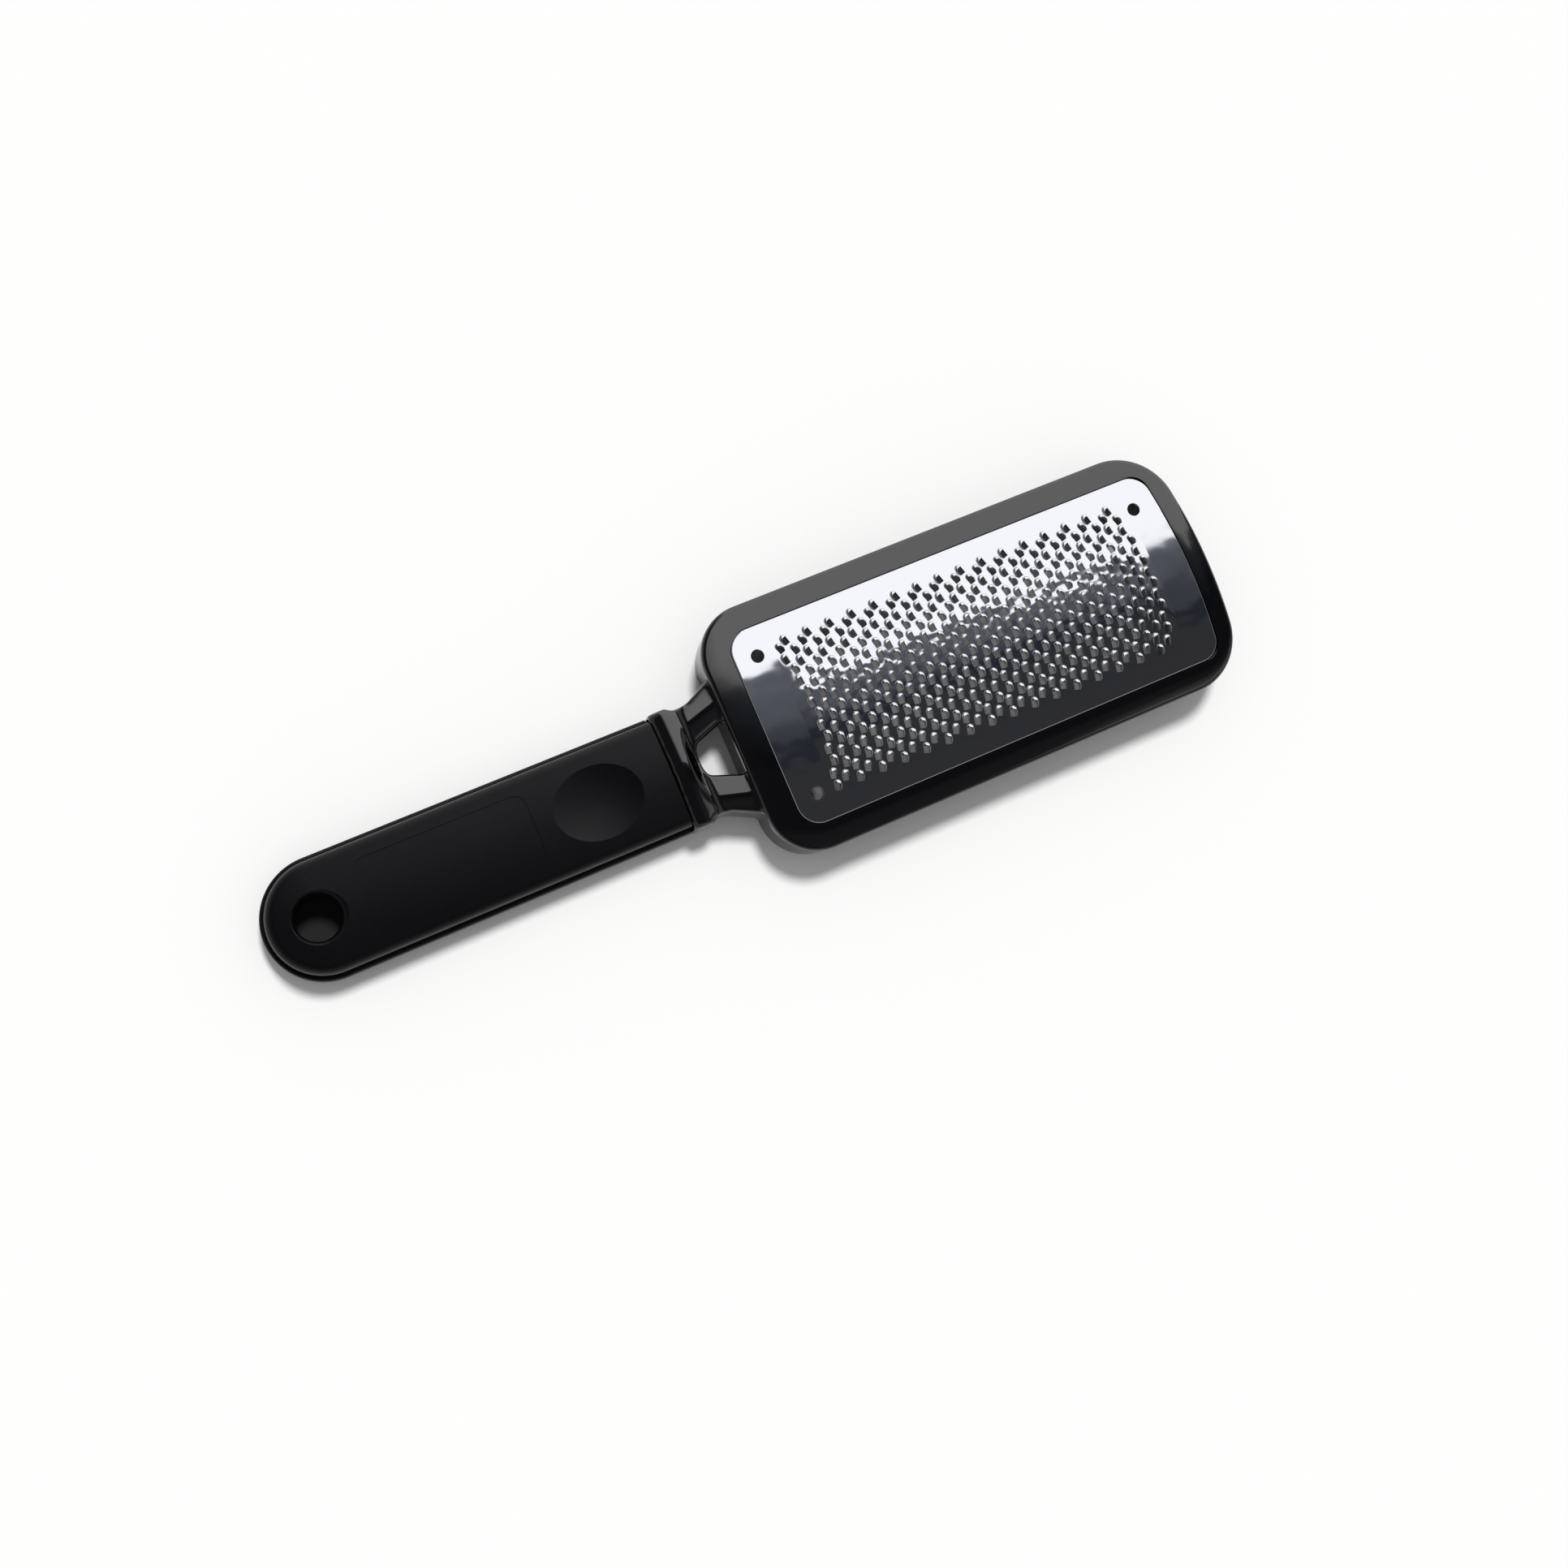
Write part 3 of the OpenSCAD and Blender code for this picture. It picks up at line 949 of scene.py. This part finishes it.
class FOOTFILE_OT_stage(bpy.types.Operator):
    """Sets up the white floor, the lamp, the studio's surroundings and the camera"""

    bl_idname = "footfile.stage"
    bl_label = "Stage"

    def execute(self, context):
        stage = context.scene.footfile_stage
        self.floor(context, stage)
        self.lamp(context, stage)
        self.surroundings(context)
        self.camera(context, stage)
        context.scene.view_settings.view_transform = "Standard"
        return {"FINISHED"}

    def floor(self, context, stage):
        """A white floor with painted shade where the tool's openings let it be seen"""
        mesh = bmesh.new()
        bmesh.ops.create_grid(mesh, x_segments=1, y_segments=1, size=stage.floor_size / 2)
        material, tree = new_material("White floor")
        axis = split(tree, tree.nodes.new("ShaderNodeTexCoord").outputs["Object"])
        # Painted shade: the floor's colour is darkened under the hang hole and under the open head
        shade = 1
        for middle, half_length, half_width, dark, square in PAINTED_FLOOR_SHADES:
            along = calc(tree, "DIVIDE", away_from(tree, axis["X"], middle), half_length)
            across = calc(tree, "DIVIDE", away_from(tree, axis["Y"], 0), half_width)
            far = calc(
                tree, "ADD", calc(tree, "POWER", along, square), calc(tree, "POWER", across, square)
            )
            inside = within(tree, far, 1, PAINTED_SHADE_STEEPNESS)
            left = calc(tree, "SUBTRACT", 1, calc(tree, "MULTIPLY", inside, dark))
            shade = calc(tree, "MULTIPLY", shade, left)
        colour = mix(tree, shade, (0, 0, 0, 1), (*FLOOR_COLOUR, 1))
        shader = add_node(tree, "ShaderNodeBsdfDiffuse", {"Color": colour})
        add_node(tree, "ShaderNodeOutputMaterial", {"Surface": shader.outputs[0]})
        piece = new_piece(context, "floor", mesh, material)

    def lamp(self, context, stage):
        """The main soft lamp, high on the far side"""
        lamp = bpy.data.lights.new("main_lamp", "SUN")
        lamp.energy = stage.sun_strength
        lamp.angle = stage.sun_angle
        piece = bpy.data.objects.new("main_lamp", lamp)
        piece.visible_glossy = False
        piece.rotation_euler = Vector(stage.sun_lean).to_track_quat("Z", "Y").to_euler()
        context.scene.collection.objects.link(piece)

    def surroundings(self, context):
        """A studio for what is mirrored, even light for what is matt, white for the camera"""
        world = bpy.data.worlds.new("Studio")
        world.use_nodes = True
        tree = world.node_tree
        tree.nodes.clear()
        ray = tree.nodes.new("ShaderNodeLightPath").outputs
        colour = mix(tree, ray["Is Glossy Ray"], (*GROUND_LIGHT, 1), self.mirrored(tree))
        colour = mix(tree, ray["Is Camera Ray"], colour, (1, 1, 1, 1))
        paint = add_node(tree, "ShaderNodeBackground", {"Color": colour})
        add_node(tree, "ShaderNodeOutputWorld", {"Surface": paint.outputs[0]})
        context.scene.world = world

    def mirrored(self, tree):
        """A dark banded ceiling with a large white card on the far side, and two dim lights"""
        axis = split(tree, tree.nodes.new("ShaderNodeTexCoord").outputs["Generated"])
        rise = calc(tree, "MAXIMUM", axis["Z"], LOWEST_RISE)
        along = calc(tree, "DIVIDE", axis["X"], rise)
        across = calc(tree, "DIVIDE", axis["Y"], rise)

        # The bands run along X, slightly slanted, and turn more at the tip's end
        slant = calc(tree, "MAXIMUM", calc(tree, "MINIMUM", along, SLANT_REACH), -SLANT_REACH)
        skew = calc(tree, "MAXIMUM", calc(tree, "SUBTRACT", along, SLANT_REACH), 0)
        line = calc(tree, "ADD", calc(tree, "MULTIPLY", slant, SLANT), across)
        line = calc(tree, "SUBTRACT", line, calc(tree, "MULTIPLY", skew, SKEW))
        strip = calc(tree, "DIVIDE", calc(tree, "SUBTRACT", line, STRIP_START), STRIP_WIDTH)
        front = calc(tree, "SUBTRACT", along, BACK_PLACE)
        front = calc(tree, "MULTIPLY", front, BACK_STEEPNESS, clamp=True)
        ceiling = mix(tree, front, (*BACK_COLOUR, 1), ramp(tree, strip, CEILING))

        card = [
            within(tree, away_from(tree, place, middle), reach, CARD_STEEPNESS)
            for place, (middle, reach) in ((along, CARD_ALONG), (across, CARD_ACROSS))
        ]
        card = calc(tree, "MULTIPLY", calc(tree, "MULTIPLY", *card), CARD_STRENGTH)
        horizon = within(tree, axis["Z"], HORIZON_RISE, HORIZON_STEEPNESS)
        horizon = calc(tree, "MULTIPLY", horizon, HORIZON_STRENGTH)
        dim = calc(tree, "MAXIMUM", card, horizon)
        return mix(tree, 1, ceiling, dim, blend="LIGHTEN")

    def camera(self, context, stage):
        """The photograph's viewing angle"""
        camera = bpy.data.cameras.new("camera")
        camera.lens = stage.lens
        camera.sensor_width = SENSOR_WIDTH
        camera.shift_x, camera.shift_y = stage.shift
        camera.clip_start = CLIP_START
        piece = bpy.data.objects.new("camera", camera)
        piece.location = stage.camera_place
        piece.rotation_euler = stage.camera_turn
        context.scene.collection.objects.link(piece)
        context.scene.camera = piece


class FOOTFILE_PT_panel(bpy.types.Panel):
    """Lists the foot file's operators and settings"""

    bl_idname = "FOOTFILE_PT_panel"
    bl_label = "Foot File"
    bl_space_type = "VIEW_3D"
    bl_region_type = "UI"
    bl_category = "Foot File"

    def draw(self, context):
        for operator in OPERATORS:
            self.layout.operator(operator.bl_idname)
        for group in ("footfile_plate", "footfile_neck", "footfile_finish", "footfile_stage"):
            settings = getattr(context.scene, group)
            box = self.layout.box()
            for name in settings.__annotations__:
                box.prop(settings, name)


SETTINGS = (RaspPlateSettings, NeckSettings, FinishSettings, StageSettings)
OPERATORS = (
    FOOTFILE_OT_frame_finish,
    FOOTFILE_OT_grip_finish,
    FOOTFILE_OT_rasp_plate,
    FOOTFILE_OT_stage,
)


def register():
    for cls in (*SETTINGS, *OPERATORS, FOOTFILE_PT_panel):
        bpy.utils.register_class(cls)
    bpy.types.Scene.footfile_plate = PointerProperty(type=RaspPlateSettings)
    bpy.types.Scene.footfile_neck = PointerProperty(type=NeckSettings)
    bpy.types.Scene.footfile_finish = PointerProperty(type=FinishSettings)
    bpy.types.Scene.footfile_stage = PointerProperty(type=StageSettings)


def unregister():
    del bpy.types.Scene.footfile_stage
    del bpy.types.Scene.footfile_finish
    del bpy.types.Scene.footfile_neck
    del bpy.types.Scene.footfile_plate
    for cls in reversed((*SETTINGS, *OPERATORS, FOOTFILE_PT_panel)):
        bpy.utils.unregister_class(cls)


def main():
    """Registers the add-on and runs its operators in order"""
    register()
    bpy.ops.footfile.frame_finish()
    bpy.ops.footfile.grip_finish()
    bpy.ops.footfile.rasp_plate()
    bpy.ops.footfile.stage()


if __name__ == "__main__":
    main()
